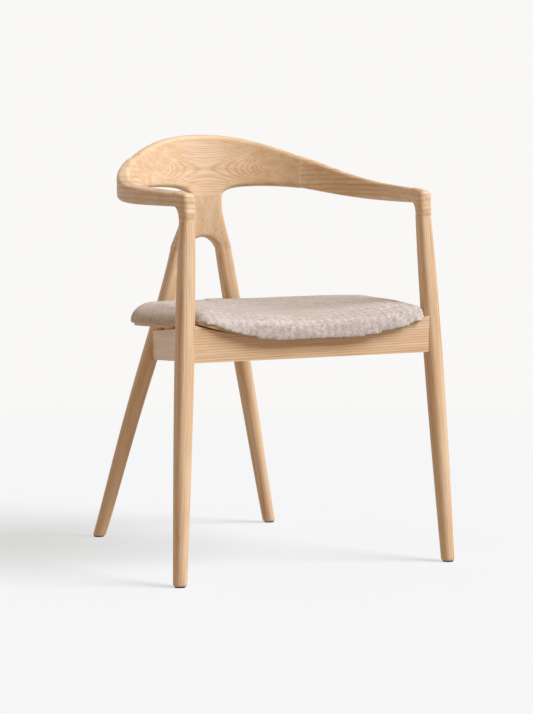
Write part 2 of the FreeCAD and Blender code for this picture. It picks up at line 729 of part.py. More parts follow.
def block_shape(corner, across, along, low, reach):
    """A triangular block in a corner of the frame, its top shaped to the seat shell."""
    points = [corner, corner + across * reach[0], corner + along * reach[1]]
    outline = Part.makePolygon([Vector(p.x, p.y, low) for p in points + [corner]])
    prism = Part.Face(outline).extrude(UP * (BLOCK_BLANK_TOP - low))
    return prism.cut(saddle(SHELL_UNDERSIDE, SHELL_POWER, -BLOCK_TOP_GAP).extrude(TALL))


def seat_fastening(place, point):
    """A screw up through the block into a threaded insert in the shell; returns the screw."""
    shell_low = shell.common(Part.makeLine(point, point + UP * 600)).BoundBox.ZMin
    middle = Vector(point.x, point.y, shell_low + SEAT_SCREW_BITE - size("seat_screw_length") / 2)
    screw = peg(f"seat_screw_{place}", middle, UP, "seat_screw_diameter", "seat_screw_length")
    socket = doc.addObject("Part::Cylinder", f"seat_socket_{place}")
    socket.setExpression("Radius", "Sizes.insert_diameter / 2")
    socket.setExpression("Height", "Sizes.insert_length")
    socket.Placement = Placement(Vector(point.x, point.y, shell_low + INSERT_DEPTH), Rotation())
    insert = doc.addObject("Part::Cut", f"seat_insert_{place}")
    insert.Base = socket
    insert.Tool = screw
    seat_screws.append(screw)
    sockets.append(socket)
    inserts.append(insert)
    return screw


def corner_block(end, side_name, side, cross_face_y, leg):
    """One corner block with its seat screw and the two screws that hold it to the rails."""
    sizes = BLOCKS[end]
    backwards = 1 if end == "front" else -1
    rail_line = Vector(side * rail_way.x, rail_way.y, 0)
    along = rail_line * backwards
    across = Vector(-side, 0, 0)
    inward = Vector(-side * rail_way.y, rail_way.x, 0)
    inner_face = Vector(side * SIDE_RAIL_FRONT.x, SIDE_RAIL_FRONT.y, 0) + inward * (size("rail_thickness") / 2)
    corner = inner_face + rail_line * ((cross_face_y - inner_face.y) / rail_line.y)
    name = f"corner_block_{end}_{side_name}"
    shape = block_shape(corner, across, along, sizes["low"], sizes["reach"])
    rail_blank[name] = feature(name + "_blank", shape.cut(leg.Shape).Solids[0])
    screw_across, screw_along = sizes["seat_screw"]
    seat_screw = seat_fastening(f"{end}_{side_name}", corner + across * screw_across + along * screw_along)
    entries = {
        f"side_rail_{side_name}": (
            corner + along * sizes["side_screw"] + UP * (sizes["low"] + SIDE_SCREW_RISE),
            inward * -1,
        ),
        f"{end}_rail": (
            corner + across * sizes["cross_screw"] + UP * (sizes["low"] + CROSS_SCREW_RISE),
            Vector(0, -backwards, 0),
        ),
    }
    cuts.setdefault(name, []).append(seat_screw)
    for rail, (entry, way) in entries.items():
        middle = entry - way * BLOCK_SCREW_SHIFT
        screw = peg(f"{name}_into_{rail}", middle, way, "block_screw_diameter", "block_screw_length")
        block_screws.append(screw)
        cuts[name].append(screw)
        cuts[rail].append(screw)


front_rail_back = -size("front_rail_face") + size("rail_thickness")
rear_rail_front = rear_rail_y - size("rail_thickness") / 2
for side_name, side in SIDES:
    corner_block("front", side_name, side, front_rail_back, front_blank[side_name])
    corner_block("rear", side_name, side, rear_rail_front, rear_blank[side_name])
group("corner_block_screws", block_screws)
group("seat_screws", seat_screws)
group("seat_inserts", inserts)
doc.recompute()

# ---------------------------------------------------------------- the finished sub-parts

blanks = {"crest_rail": crest_blank, "back_fork": fork_blank}
blanks.update(rail_blank)
for side_name, side in SIDES:
    blanks[f"arm_{side_name}"] = arm_blank[side_name]
    blanks[f"front_leg_{side_name}"] = front_blank[side_name]
    blanks[f"rear_leg_{side_name}"] = rear_blank[side_name]
# the shoulders of the rails are cut to the legs' round faces
shoulders = {
    "front_rail": [front_blank["left"], front_blank["right"]],
    "rear_rail": [rear_blank["left"], rear_blank["right"]],
    "side_rail_left": [front_blank["left"], rear_blank["left"]],
    "side_rail_right": [front_blank["right"], rear_blank["right"]],
}
for name, blank in blanks.items():
    less(name, blank, cuts[name], shoulders.get(name, ()))
less("seat_shell", shell_blank, sockets)
doc.recompute()

failed = [thing.Name for thing in doc.Objects if {"Invalid", "Error"} & set(thing.State)]
if failed:
    raise SystemExit(f"objects that failed: {failed}")
for name, thing in nodes.items():
    shape = thing.Shape
    if shape.isNull() or not shape.isValid() or not shape.Solids:
        raise SystemExit(f"{name} has no valid solid")
os.makedirs("parts", exist_ok=True)
for name, thing in nodes.items():
    thing.Shape.exportStep(f"parts/{name}.step")
    print(name, len(thing.Shape.Solids), round(thing.Shape.Volume), thing.TypeId)
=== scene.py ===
import math

import bmesh
import bpy
from bpy.props import FloatProperty, FloatVectorProperty, IntProperty, PointerProperty
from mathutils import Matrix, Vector
from mathutils.bvhtree import BVHTree


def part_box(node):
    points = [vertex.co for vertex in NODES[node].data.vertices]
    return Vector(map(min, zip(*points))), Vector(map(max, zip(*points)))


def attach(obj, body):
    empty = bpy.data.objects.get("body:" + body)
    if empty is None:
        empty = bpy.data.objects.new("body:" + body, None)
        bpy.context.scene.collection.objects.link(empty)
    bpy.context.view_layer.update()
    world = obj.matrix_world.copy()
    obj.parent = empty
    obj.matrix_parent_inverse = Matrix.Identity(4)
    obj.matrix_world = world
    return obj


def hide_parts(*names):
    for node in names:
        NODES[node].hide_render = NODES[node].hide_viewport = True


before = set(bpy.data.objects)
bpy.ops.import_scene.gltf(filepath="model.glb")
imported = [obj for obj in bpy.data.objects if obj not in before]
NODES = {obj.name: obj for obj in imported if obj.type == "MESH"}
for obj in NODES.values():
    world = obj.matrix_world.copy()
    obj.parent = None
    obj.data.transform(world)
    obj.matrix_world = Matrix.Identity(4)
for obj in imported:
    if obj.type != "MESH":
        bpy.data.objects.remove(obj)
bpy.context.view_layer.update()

bl_info = {
    "name": "Ash armchair",
    "version": (1, 0, 0),
    "blender": (4, 5, 0),
    "location": "View3D > Sidebar > Armchair",
    "description": "Builds the finished surfaces of a solid ash armchair with an upholstered seat",
    "category": "Object",
}

MM = 0.001
MIDDLE = Vector((0, 0, 0))
RIGHT = Vector((1, 0, 0))
BACKWARD = Vector((0, 1, 0))
UP = Vector((0, 0, 1))


# ---------------------------------------------------------------- colours and nodes

def linear(hex_colour):
    """An sRGB hex colour as the linear RGBA that shaders take."""
    channels = (int(hex_colour[at:at + 2], 16) / 255 for at in (1, 3, 5))
    return (*(c / 12.92 if c <= 0.04045 else ((c + 0.055) / 1.055) ** 2.4 for c in channels), 1.0)


def add(tree, kind, settings=None, links=None):
    """Add a node, set its options and unlinked sockets, and link the others."""
    node = tree.nodes.new(kind)
    for name, value in (settings or {}).items():
        if isinstance(name, str) and hasattr(node, name):
            setattr(node, name, value)
        else:
            node.inputs[name].default_value = value
    for name, source in (links or {}).items():
        tree.links.new(source, node.inputs[name])
    return node


def surface(name, **settings):
    """A new material with one Principled shader: the material, its tree and the shader."""
    material = bpy.data.materials.new(name)
    material.use_nodes = True
    shader = material.node_tree.nodes["Principled BSDF"]
    for socket, value in settings.items():
        shader.inputs[socket.replace("_", " ")].default_value = value
    return material, material.node_tree, shader


def waves(spacing):
    """The scale of a wave texture whose bands come at a spacing in metres.

    At a scale of 1 the texture turns 20 radians in a metre.
    """
    return math.tau / 20 / spacing


def stops(ramp, *places):
    """Set a ramp's stops to the given (place, grey value) pairs."""
    elements = ramp.color_ramp.elements
    while len(elements) < len(places):
        elements.new(1.0)
    for element, (place, value) in zip(elements, places):
        element.position = place
        element.color = (value, value, value, 1.0)


# ---------------------------------------------------------------- materials

# soft bands through the plywood and both ways over the cloth: single veneers and yarns are finer
PLY_BANDS = 7.54 * MM
CLOTH_BANDS = 15.08 * MM
# how many of each mark go into a metre: twice across the grain, and along it
RING_WANDER = (14, 14, 2)
WARM_STREAKS = (110, 110, 3)
OPEN_PORES = (520, 520, 16)
DOWEL_FLECKS = (900, 900, 120)
# the same for the shell, whose grain runs from side to side
PLY_FLECKS = (6, 400, 400)
# the same for marks that are round
YARN_FLECKS = 260
YARN_PATCHES = 80
SEAT_CLOUDS = 14
NYLON_GRAIN = 1800
TURNING_MARKS = 900
# each wooden part: the way its grain runs, a point on the pith of its log (mm) and ring width (mm)
GRAIN = {
    "crest_rail": ((1, 0, 0), (0, 146, 702), 3.4),
    "back_fork": ((0, 0.1, 1), (420, 190, 500), 3.4),
    "arm_left": ((0.2, 1, 0), (-250, -60, 240), 9.0),
    "arm_right": ((-0.2, 1, 0), (250, -60, 240), 9.0),
    "front_leg_left": ((0.054, 0.061, 1), (-420, -380, 300), 3.6),
    "front_leg_right": ((-0.054, 0.061, 1), (420, -380, 300), 3.6),
    "rear_leg_left": ((0.25, -0.13, 1), (-330, 330, 300), 3.6),
    "rear_leg_right": ((-0.25, -0.13, 1), (330, 330, 300), 3.6),
    "front_rail": ((1, 0, 0.012), (0, -200, 200), 4.6),
    "side_rail_left": ((0.33, 1, -0.08), (-120, 0, 120), 4.4),
    "side_rail_right": ((-0.33, 1, -0.08), (120, 0, 120), 4.4),
    "rear_rail": ((1, 0, 0), (0, 300, 180), 4.6),
    "corner_block_front_left": ((1, 1, 0), (-100, -100, 300), 4.0),
    "corner_block_front_right": ((1, -1, 0), (100, -100, 300), 4.0),
    "corner_block_rear_left": ((1, -1, 0), (-50, 100, 300), 4.0),
    "corner_block_rear_right": ((1, 1, 0), (50, 100, 300), 4.0),
}


def ash(name, along, pith, ring, look):
    """Solid ash, planed, sanded and oiled matt: pale straw wood whose late-wood rings read as
    fine warm lines along each part, with short open pores that catch a little shade."""
    material, tree, shader = surface(name, Roughness=look.wood_roughness, IOR=1.5)
    turn = Vector(along).to_track_quat("Z", "Y").to_euler()
    place = add(tree, "ShaderNodeTexCoord")
    grain = add(tree, "ShaderNodeMapping",
                {"vector_type": "TEXTURE", "Location": [c * MM for c in pith], "Rotation": turn},
                {"Vector": place.outputs["Object"]}).outputs[0]
    # the rings wander slowly, over about 500 mm along the grain and 70 mm across
    slow = add(tree, "ShaderNodeMapping", {"Scale": RING_WANDER}, {"Vector": grain}).outputs[0]
    wander = add(tree, "ShaderNodeTexNoise", {"Scale": 1.0, "Detail": 2.0}, {"Vector": slow})
    pushed = add(tree, "ShaderNodeVectorMath",
                 {"operation": "MULTIPLY_ADD", 1: (look.ring_wander,) * 3},
                 {0: wander.outputs["Color"], 2: grain}).outputs[0]
    across = add(tree, "ShaderNodeVectorMath", {"operation": "MULTIPLY", 1: (1, 1, 0)}, {0: pushed})
    radius = add(tree, "ShaderNodeVectorMath", {"operation": "LENGTH"}, {0: across.outputs[0]})
    count = add(tree, "ShaderNodeMath", {"operation": "MULTIPLY", 1: 1 / (ring * MM)},
                {0: radius.outputs["Value"]})
    year = add(tree, "ShaderNodeMath", {"operation": "FRACT"}, {0: count.outputs[0]})
    late = add(tree, "ShaderNodeValToRGB", {}, {"Fac": year.outputs[0]})
    # each ring darkens slowly to its late wood and breaks off sharply
    stops(late, (0.0, 0.75), (0.14, 0.2), (0.5, 0.0), (0.82, 0.45), (0.97, 1.0))
    # some rings are strong and some faint
    patches = add(tree, "ShaderNodeTexNoise", {"Scale": 2.2, "Detail": 1.0}, {"Vector": slow})
    strength = add(tree, "ShaderNodeMapRange",
                   {"From Min": 0.3, "From Max": 0.7, "To Min": 0.2, "To Max": look.ring_depth},
                   {"Value": patches.outputs["Fac"]})
    rings = add(tree, "ShaderNodeMath", {"operation": "MULTIPLY"},
                {0: late.outputs["Color"], 1: strength.outputs[0]}).outputs[0]
    # broad soft streaks about 9 mm wide
    broad = add(tree, "ShaderNodeMapping", {"Scale": WARM_STREAKS}, {"Vector": pushed})
    streak = add(tree, "ShaderNodeTexNoise", {"Scale": 1.0, "Detail": 2.0}, {"Vector": broad.outputs[0]})
    body = add(tree, "ShaderNodeMapRange", {"From Min": 0.35, "From Max": 0.65},
               {"Value": streak.outputs["Fac"]})
    tone = add(tree, "ShaderNodeMix",
               {"data_type": "RGBA", 6: look.wood_pale, 7: look.wood_warm}, {0: body.outputs[0]})
    lined = add(tree, "ShaderNodeMix", {"data_type": "RGBA", 7: look.wood_late},
                {0: rings, 6: tone.outputs[2]})
    # streaks of pores about 2 mm wide and 60 mm long: single pores are too fine to show
    thin = add(tree, "ShaderNodeMapping", {"Scale": OPEN_PORES}, {"Vector": pushed})
    fibre = add(tree, "ShaderNodeTexNoise", {"Scale": 1.0, "Detail": 3.0}, {"Vector": thin.outputs[0]})
    fleck = add(tree, "ShaderNodeMapRange", {"From Min": 0.54, "From Max": 0.74, "To Max": 0.4},
                {"Value": fibre.outputs["Fac"]})
    pored = add(tree, "ShaderNodeMix", {"data_type": "RGBA", 7: look.wood_pore},
                {0: fleck.outputs[0], 6: lined.outputs[2]})
    tree.links.new(pored.outputs[2], shader.inputs["Base Color"])
    relief = add(tree, "ShaderNodeMath", {"operation": "ADD"}, {0: rings, 1: fleck.outputs[0]})
    bump = add(tree, "ShaderNodeBump", {"invert": True, "Strength": 0.3, "Distance": 0.08 * MM},
               {"Height": relief.outputs[0]})
    tree.links.new(bump.outputs[0], shader.inputs["Normal"])
    return material


def beech_plywood():
    """Beech plywood, moulded and sanded: pale and even, with long fine flecks and soft bands."""
    material, tree, shader = surface("Beech plywood, moulded", Roughness=0.55, IOR=1.5)
    place = add(tree, "ShaderNodeTexCoord")
    plies = add(tree, "ShaderNodeTexWave",
                {"bands_direction": "Z", "Scale": waves(PLY_BANDS), "Distortion": 0.4, "Detail": 1.0},
                {"Vector": place.outputs["Object"]})
    long_grain = add(tree, "ShaderNodeMapping", {"Scale": PLY_FLECKS},
                     {"Vector": place.outputs["Object"]})
    fibre = add(tree, "ShaderNodeTexNoise", {"Scale": 1.0, "Detail": 2.0},
                {"Vector": long_grain.outputs[0]})
    both = add(tree, "ShaderNodeMath", {"operation": "MULTIPLY"},
               {0: plies.outputs["Fac"], 1: fibre.outputs["Fac"]})
    tone = add(tree, "ShaderNodeMix",
               {"data_type": "RGBA", 6: linear("#e2c49a"), 7: linear("#b58a5e")}, {0: both.outputs[0]})
    tree.links.new(tone.outputs[2], shader.inputs["Base Color"])
    bump = add(tree, "ShaderNodeBump", {"Strength": 0.3, "Distance": 0.1 * MM}, {"Height": both.outputs[0]})
    tree.links.new(bump.outputs[0], shader.inputs["Normal"])
    return material


def beech_dowel():
    """Turned beech dowel: even pinkish wood with short fine flecks."""
    material, tree, shader = surface("Beech, turned", Roughness=0.6, IOR=1.5)
    place = add(tree, "ShaderNodeTexCoord")
    fine = add(tree, "ShaderNodeMapping", {"Scale": DOWEL_FLECKS}, {"Vector": place.outputs["Object"]})
    fleck = add(tree, "ShaderNodeTexNoise", {"Scale": 1.0, "Detail": 2.0}, {"Vector": fine.outputs[0]})
    tone = add(tree, "ShaderNodeMix",
               {"data_type": "RGBA", 6: linear("#d9b48c"), 7: linear("#b98d66")},
               {0: fleck.outputs["Fac"]})
    tree.links.new(tone.outputs[2], shader.inputs["Base Color"])
    return material


def wool_weave(look):
    """Wool-blend upholstery in mottled yarns: greige, dry and soft, with small dark and light
    flecks and a faint pale bloom where it turns away."""
    material, tree, shader = surface("Wool-blend plain weave", Roughness=0.92, IOR=1.45,
                                     Sheen_Weight=0.35, Sheen_Roughness=0.5,
                                     Sheen_Tint=linear("#f0e8df"))
    place = add(tree, "ShaderNodeTexCoord").outputs["Object"]
    warp = add(tree, "ShaderNodeTexWave",
               {"bands_direction": "X", "Scale": waves(CLOTH_BANDS), "Distortion": 1.6, "Detail": 2.0,
                "Detail Scale": 3.0}, {"Vector": place})
    weft = add(tree, "ShaderNodeTexWave",
               {"bands_direction": "Y", "Scale": waves(CLOTH_BANDS), "Distortion": 1.6, "Detail": 2.0,
                "Detail Scale": 3.0}, {"Vector": place})
    weave = add(tree, "ShaderNodeMath", {"operation": "ADD"},
                {0: warp.outputs["Fac"], 1: weft.outputs["Fac"]})
    # flecks about 4 mm across, patches of them about 12 mm across and clouds over the whole seat:
    # the patches count half as much as the flecks, the clouds a third and the bands an eighth
    small = add(tree, "ShaderNodeTexNoise", {"Scale": YARN_FLECKS, "Detail": 2.0}, {"Vector": place})
    large = add(tree, "ShaderNodeTexNoise", {"Scale": YARN_PATCHES, "Detail": 2.0}, {"Vector": place})
    cloud = add(tree, "ShaderNodeTexNoise", {"Scale": SEAT_CLOUDS, "Detail": 1.0}, {"Vector": place})
    mixed = add(tree, "ShaderNodeMath", {"operation": "MULTIPLY_ADD", 1: 0.5},
                {0: large.outputs["Fac"], 2: small.outputs["Fac"]})
    mottle = add(tree, "ShaderNodeMath", {"operation": "MULTIPLY_ADD", 1: 0.35},
                 {0: cloud.outputs["Fac"], 2: mixed.outputs[0]})
    threads = add(tree, "ShaderNodeMath", {"operation": "MULTIPLY_ADD", 1: 0.12},
                  {0: weave.outputs[0], 2: mottle.outputs[0]})
    level = add(tree, "ShaderNodeMapRange", {"From Min": 0.75, "From Max": 1.35},
                {"Value": threads.outputs[0]})
    tone = add(tree, "ShaderNodeMix", {"data_type": "RGBA", 6: look.cloth_dark, 7: look.cloth_light},
               {0: level.outputs[0]})
    tree.links.new(tone.outputs[2], shader.inputs["Base Color"])
    bump = add(tree, "ShaderNodeBump", {"Strength": 0.6, "Distance": 0.5 * MM},
               {"Height": threads.outputs[0]})
    tree.links.new(bump.outputs[0], shader.inputs["Normal"])
    return material


def nylon_glide():
    """Moulded nylon foot glides: dark brown, satin, with a fine moulded grain."""
    material, tree, shader = surface("Nylon, moulded", Roughness=0.45, IOR=1.53)
    place = add(tree, "ShaderNodeTexCoord")
    grain = add(tree, "ShaderNodeTexNoise", {"Scale": NYLON_GRAIN, "Detail": 2.0},
                {"Vector": place.outputs["Object"]})
    tone = add(tree, "ShaderNodeMix",
               {"data_type": "RGBA", 6: linear("#2b241f"), 7: linear("#40372f")},
               {0: grain.outputs["Fac"]})
    tree.links.new(tone.outputs[2], shader.inputs["Base Color"])
    bump = add(tree, "ShaderNodeBump", {"Strength": 0.3, "Distance": 0.05 * MM},
               {"Height": grain.outputs["Fac"]})
    tree.links.new(bump.outputs[0], shader.inputs["Normal"])
    return material


def metal(name, dull, bright, roughness):
    """Metal of the screws and inserts: bright, with faint marks that break up the reflection."""
    material, tree, shader = surface(name, Metallic=1.0, Roughness=roughness)
    place = add(tree, "ShaderNodeTexCoord")
    marks = add(tree, "ShaderNodeTexNoise", {"Scale": TURNING_MARKS, "Detail": 2.0},
                {"Vector": place.outputs["Object"]})
    tone = add(tree, "ShaderNodeMix", {"data_type": "RGBA", 6: linear(dull), 7: linear(bright)},
               {0: marks.outputs["Fac"]})
    tree.links.new(tone.outputs[2], shader.inputs["Base Color"])
    return material


# ---------------------------------------------------------------- mesh helpers

# distances within which two points are one, and a point lies on a plane
SAME_POINT = 0.002 * MM
ON_PLANE = 0.01 * MM
# the least angle of an edge that still reads as sharp
SHARP_ANGLE = 0.7


def joined(names):
    """A bmesh of the named CAD nodes together, with points that coincide merged."""
    merged = bmesh.new()
    for name in names:
        merged.from_mesh(NODES[name].data)
    bmesh.ops.remove_doubles(merged, verts=merged.verts, dist=SAME_POINT)
    return merged


def stand(name, shape, material):
    """Turn a bmesh into an object in the scene, with one material if it is given."""
    mesh = bpy.data.meshes.new(name)
    shape.to_mesh(mesh)
    shape.free()
    if material:
        mesh.materials.append(material)
    piece = bpy.data.objects.new(name, mesh)
    bpy.context.scene.collection.objects.link(piece)
    return piece


def settle(piece):
    """Apply every modifier of a piece to its mesh."""
    depsgraph = bpy.context.evaluated_depsgraph_get()
    mesh = bpy.data.meshes.new_from_object(piece.evaluated_get(depsgraph))
    piece.modifiers.clear()
    piece.data = mesh


def remeshed(piece, voxel):
    """Give a piece one even closed skin of small faces."""
    skin = piece.modifiers.new("even mesh", "REMESH")
    skin.mode = "VOXEL"
    skin.voxel_size = voxel
    settle(piece)


def ease(value, start, end):
    """0 before start, 1 past end and a smooth step between."""
    share = min(1.0, max(0.0, (value - start) / (end - start)))
    return share * share * (3 - 2 * share)


def sanded(shape, passes):
    """Smooth every point of a bmesh towards its neighbours."""
    for _ in range(passes):
        bmesh.ops.smooth_vert(shape, verts=shape.verts, factor=0.5,
                              use_axis_x=True, use_axis_y=True, use_axis_z=True)


def recoat(name, material):
    """Give a CAD node's object a finished material."""
    NODES[name].data.materials[0] = material


def keep_side(shape, point, normal, seam):
    """Cut a closed shape on a plane, keep the side that the normal points to and close the cut.

    A seam's rim gets a fine chamfer, as sanding leaves on a glued joint.
    """
    everything = shape.verts[:] + shape.edges[:] + shape.faces[:]
    cut = bmesh.ops.bisect_plane(shape, geom=everything, plane_co=point, plane_no=normal,
                                 dist=ON_PLANE, clear_inner=True)
    rim = [part for part in cut["geom_cut"] if isinstance(part, bmesh.types.BMEdge)]
    if rim:
        bmesh.ops.holes_fill(shape, edges=rim)
        bmesh.ops.bevel(shape, geom=rim, offset=seam, offset_type="OFFSET", affect="EDGES",
                        segments=1, profile=0.5, material=-1)


def shade(piece):
    """Smooth shading that breaks at the sawn joints."""
    piece.data.shade_smooth()
    piece.data.set_sharp_from_angle(angle=SHARP_ANGLE)


# ---------------------------------------------------------------- settings

class ChairLook(bpy.types.PropertyGroup):
    """Colours and sizes of the finishes that a user would change."""
    wood_pale: FloatVectorProperty(
        name="Early wood", description="Palest colour of the oiled ash", subtype="COLOR", size=4,
        default=linear("#e9d2b3"))
    wood_warm: FloatVectorProperty(
        name="Warm streaks", description="Warmer streaks of the ash", subtype="COLOR", size=4,
        default=linear("#dfbf95"))
    wood_late: FloatVectorProperty(
        name="Late wood", description="Ring lines", subtype="COLOR", size=4, default=linear("#b07f52"))
    wood_pore: FloatVectorProperty(
        name="Pores", description="Shade in the open pores", subtype="COLOR", size=4,
        default=linear("#94683f"))
    wood_roughness: FloatProperty(
        name="Wood roughness", description="Matt oil finish", default=0.5, min=0.0, max=1.0)
    ring_depth: FloatProperty(
        name="Ring strength", description="How strongly the rings show", default=0.6, min=0.0, max=1.0)
    ring_wander: FloatProperty(
        name="Ring wander", description="How far the rings stray", default=7 * MM, unit="LENGTH")
    cloth_dark: FloatVectorProperty(
        name="Dark yarn", description="Darkest colour of the upholstery", subtype="COLOR", size=4,
        default=linear("#a39d98"))
    cloth_light: FloatVectorProperty(
        name="Light yarn", description="Palest colour of the upholstery", subtype="COLOR", size=4,
        default=linear("#d9d3cf"))


class CushionShape(bpy.types.PropertyGroup):
    """How the padded seat is blown up from its plain form."""
    voxel: FloatProperty(name="Voxel", description="Mesh size before the cloth is blown up",
                         default=5 * MM, unit="LENGTH")
    fullness: FloatProperty(name="Fullness", description="How far the sides stand past the plain form",
                            default=6 * MM, unit="LENGTH")
    bare_drop: FloatProperty(name="Side drop", description="How far the cover hangs over the shell's rim",
                             default=1.5 * MM, unit="LENGTH")
    front_drop: FloatProperty(name="Front drop", description="The same along the front edge",
                              default=7 * MM, unit="LENGTH")
    evening: IntProperty(name="Evening", description="Passes that even out the swelling", default=36)
    settling: IntProperty(name="Settling", description="Passes that even out the pull over the rim",
                          default=5)
    pressure: FloatProperty(name="Pressure", description="Push of the foam on the cloth", default=7.0)
    swell: FloatProperty(name="Swell", description="Farthest that the cloth may move",
                         default=8 * MM, unit="LENGTH")
    rounding: IntProperty(name="Rounding", description="Smoothing passes before the cloth", default=4)
    frames: IntProperty(name="Frames", description="Steps of cloth simulation", default=20, min=2)
    fill: FloatProperty(name="Fill", description="How tight the pad is", default=0.9, min=0.0, max=1.0)


class FrameShape(bpy.types.PropertyGroup):
    """How the carved surface is made."""
    voxel: FloatProperty(name="Voxel", description="Mesh size of the carved surface",
                         default=1.7 * MM, unit="LENGTH")
    sanding: IntProperty(name="Sanding", description="Smoothing passes over the carved surface",
                         default=5, min=0)
    seam: FloatProperty(name="Seam", description="Chamfer at the glued joints", default=0.2 * MM,
                        unit="LENGTH")


# ---------------------------------------------------------------- where the glued joints are

def foot_of(name):
    """The height at which a node begins."""
    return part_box(name)[0][2]


NECK_HEIGHT = foot_of("crest_rail")
FORK_FOOT_HEIGHT = foot_of("back_fork")
ELBOW_HEIGHT = foot_of("arm_left")
# the bend's centre and half angle, and a box that holds the fork and leaves the legs out
BEND_CENTRE = Vector((0, -60 * MM, 0))
SCARF_ANGLE = math.radians(44.4)
CLEAR_OF_FORK = 120 * MM
BEHIND_SEAT = 50 * MM


def scarf(side, towards_arm):
    """The upright plane on which an arm is glued to the crest."""
    along = Vector((side * math.cos(SCARF_ANGLE), -math.sin(SCARF_ANGLE), 0))
    return (BEND_CENTRE, along * towards_arm)


def level(height, up):
    """The level plane at a height, kept above it (1) or below it (-1)."""
    return (UP * height, UP * up)


# each carved piece and the planes that bound it: a point, and the way to the kept side
CARVED = {
    "crest_rail": [level(NECK_HEIGHT, 1), scarf(-1, -1), scarf(1, -1)],
    "back_fork": [
        level(NECK_HEIGHT, -1),
        level(FORK_FOOT_HEIGHT, 1),
        (BACKWARD * BEHIND_SEAT, BACKWARD),
        (RIGHT * CLEAR_OF_FORK, -RIGHT),
        (-RIGHT * CLEAR_OF_FORK, RIGHT),
    ],
}
for side_name, side in (("left", -1), ("right", 1)):
    front_half, rear_half, side_half = ((MIDDLE, way) for way in (-BACKWARD, BACKWARD, RIGHT * side))
    CARVED[f"arm_{side_name}"] = [scarf(side, 1), level(ELBOW_HEIGHT, 1)]
    CARVED[f"front_leg_{side_name}"] = [level(ELBOW_HEIGHT, -1), front_half, side_half]
    CARVED[f"rear_leg_{side_name}"] = [level(FORK_FOOT_HEIGHT, -1), rear_half, side_half]

# dowels that lie wholly inside the carved pieces
BURIED = ["elbow_dowel_left", "elbow_dowel_right", "fork_dowel_left", "fork_dowel_right",
          "scarf_dowels_left", "scarf_dowels_right", "neck_dowels"]


# ---------------------------------------------------------------- pieces

class WoodFrame(bpy.types.Operator):
    """Finish the crest rail, fork, arms, legs, rails and corner blocks in oiled ash"""
    bl_idname = "armchair.wood_frame"
    bl_label = "Ash frame"

    def execute(self, context):
        look = context.scene.chair_look
        for name, (along, pith, ring) in GRAIN.items():
            label = "Ash, oiled matt, " + name.replace("_", " ")
            recoat(name, ash(label, along, pith, ring, look))
        return {"FINISHED"}


class CarvedPieces(bpy.types.Operator):
    """Carve the crest, arms, fork and legs as one flowing surface, then saw it at the glued joints"""
    bl_idname = "armchair.carved_pieces"
    bl_label = "Carved crest, arms and legs"

    def execute(self, context):
        shape = context.scene.frame_shape
        blank = stand("carving", joined([*CARVED, *BURIED]), None)
        remeshed(blank, shape.voxel)
        whole = bmesh.new()
        whole.from_mesh(blank.data)
        bpy.data.objects.remove(blank)
        sanded(whole, shape.sanding)
        for name, planes in CARVED.items():
            part = whole.copy()
            for point, normal in planes:
                keep_side(part, point, normal, shape.seam)
            piece = stand(name + "_carved", part, NODES[name].data.materials[0])
            shade(piece)
            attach(piece, "root")
            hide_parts(name)
        whole.free()
        return {"FINISHED"}


class SeatShell(bpy.types.Operator):
    """Finish the moulded plywood seat shell"""
    bl_idname = "armchair.seat_shell"
    bl_label = "Plywood shell"

    def execute(self, context):
        recoat("seat_shell", beech_plywood())
        return {"FINISHED"}


class Joinery(bpy.types.Operator):
    """Finish the dowels, screws, threaded inserts and foot glides"""
    bl_idname = "armchair.joinery"
    bl_label = "Dowels, screws and glides"

    def execute(self, context):
        finishes = {
            "dowel": beech_dowel(),
            "screws": metal("Zinc-plated steel", "#8f9296", "#c3c6ca", 0.38),
            "inserts": metal("Brass, turned", "#a98a4a", "#d2b36c", 0.35),
            "glide": nylon_glide(),
        }
        for name in NODES:
            for word, material in finishes.items():
                if word in name:
                    recoat(name, material)
        return {"FINISHED"}


def evened(mesh, moves):
    """Each point's move averaged with those of the points it shares an edge with."""
    totals = [move.copy() for move in moves]
    counts = [1] * len(moves)
    for edge in mesh.edges:
        first, second = edge.vertices
        totals[first] += moves[second]
        totals[second] += moves[first]
        counts[first] += 1
        counts[second] += 1
    return [total / count for total, count in zip(totals, counts)]


# the cushion: upward parts of normals that count as its underside, and as the slope of its flanks
FACES_DOWN = -0.5
FLANK_LEAN = (0.2, 0.8)
# the pull over the shell's rim: heights above the rim and distances past it over which it grows,
# and how much farther than its end it goes, which is then cut off in an even line
HEM_RISE = (3 * MM, 14 * MM)
HEM_REACH = (0.0, 2 * MM)
HEM_PULL = 2
# where the longer front hem begins: distances in front of the middle, and places from left to right
FRONT_BEGINS = (190 * MM, 235 * MM)
LEFT_FRONT_BEGINS = (-215 * MM, -120 * MM)
# the rim's upper edge is looked for from this far above a place, so that its side isn't found
RIM_SEARCH = 8 * MM


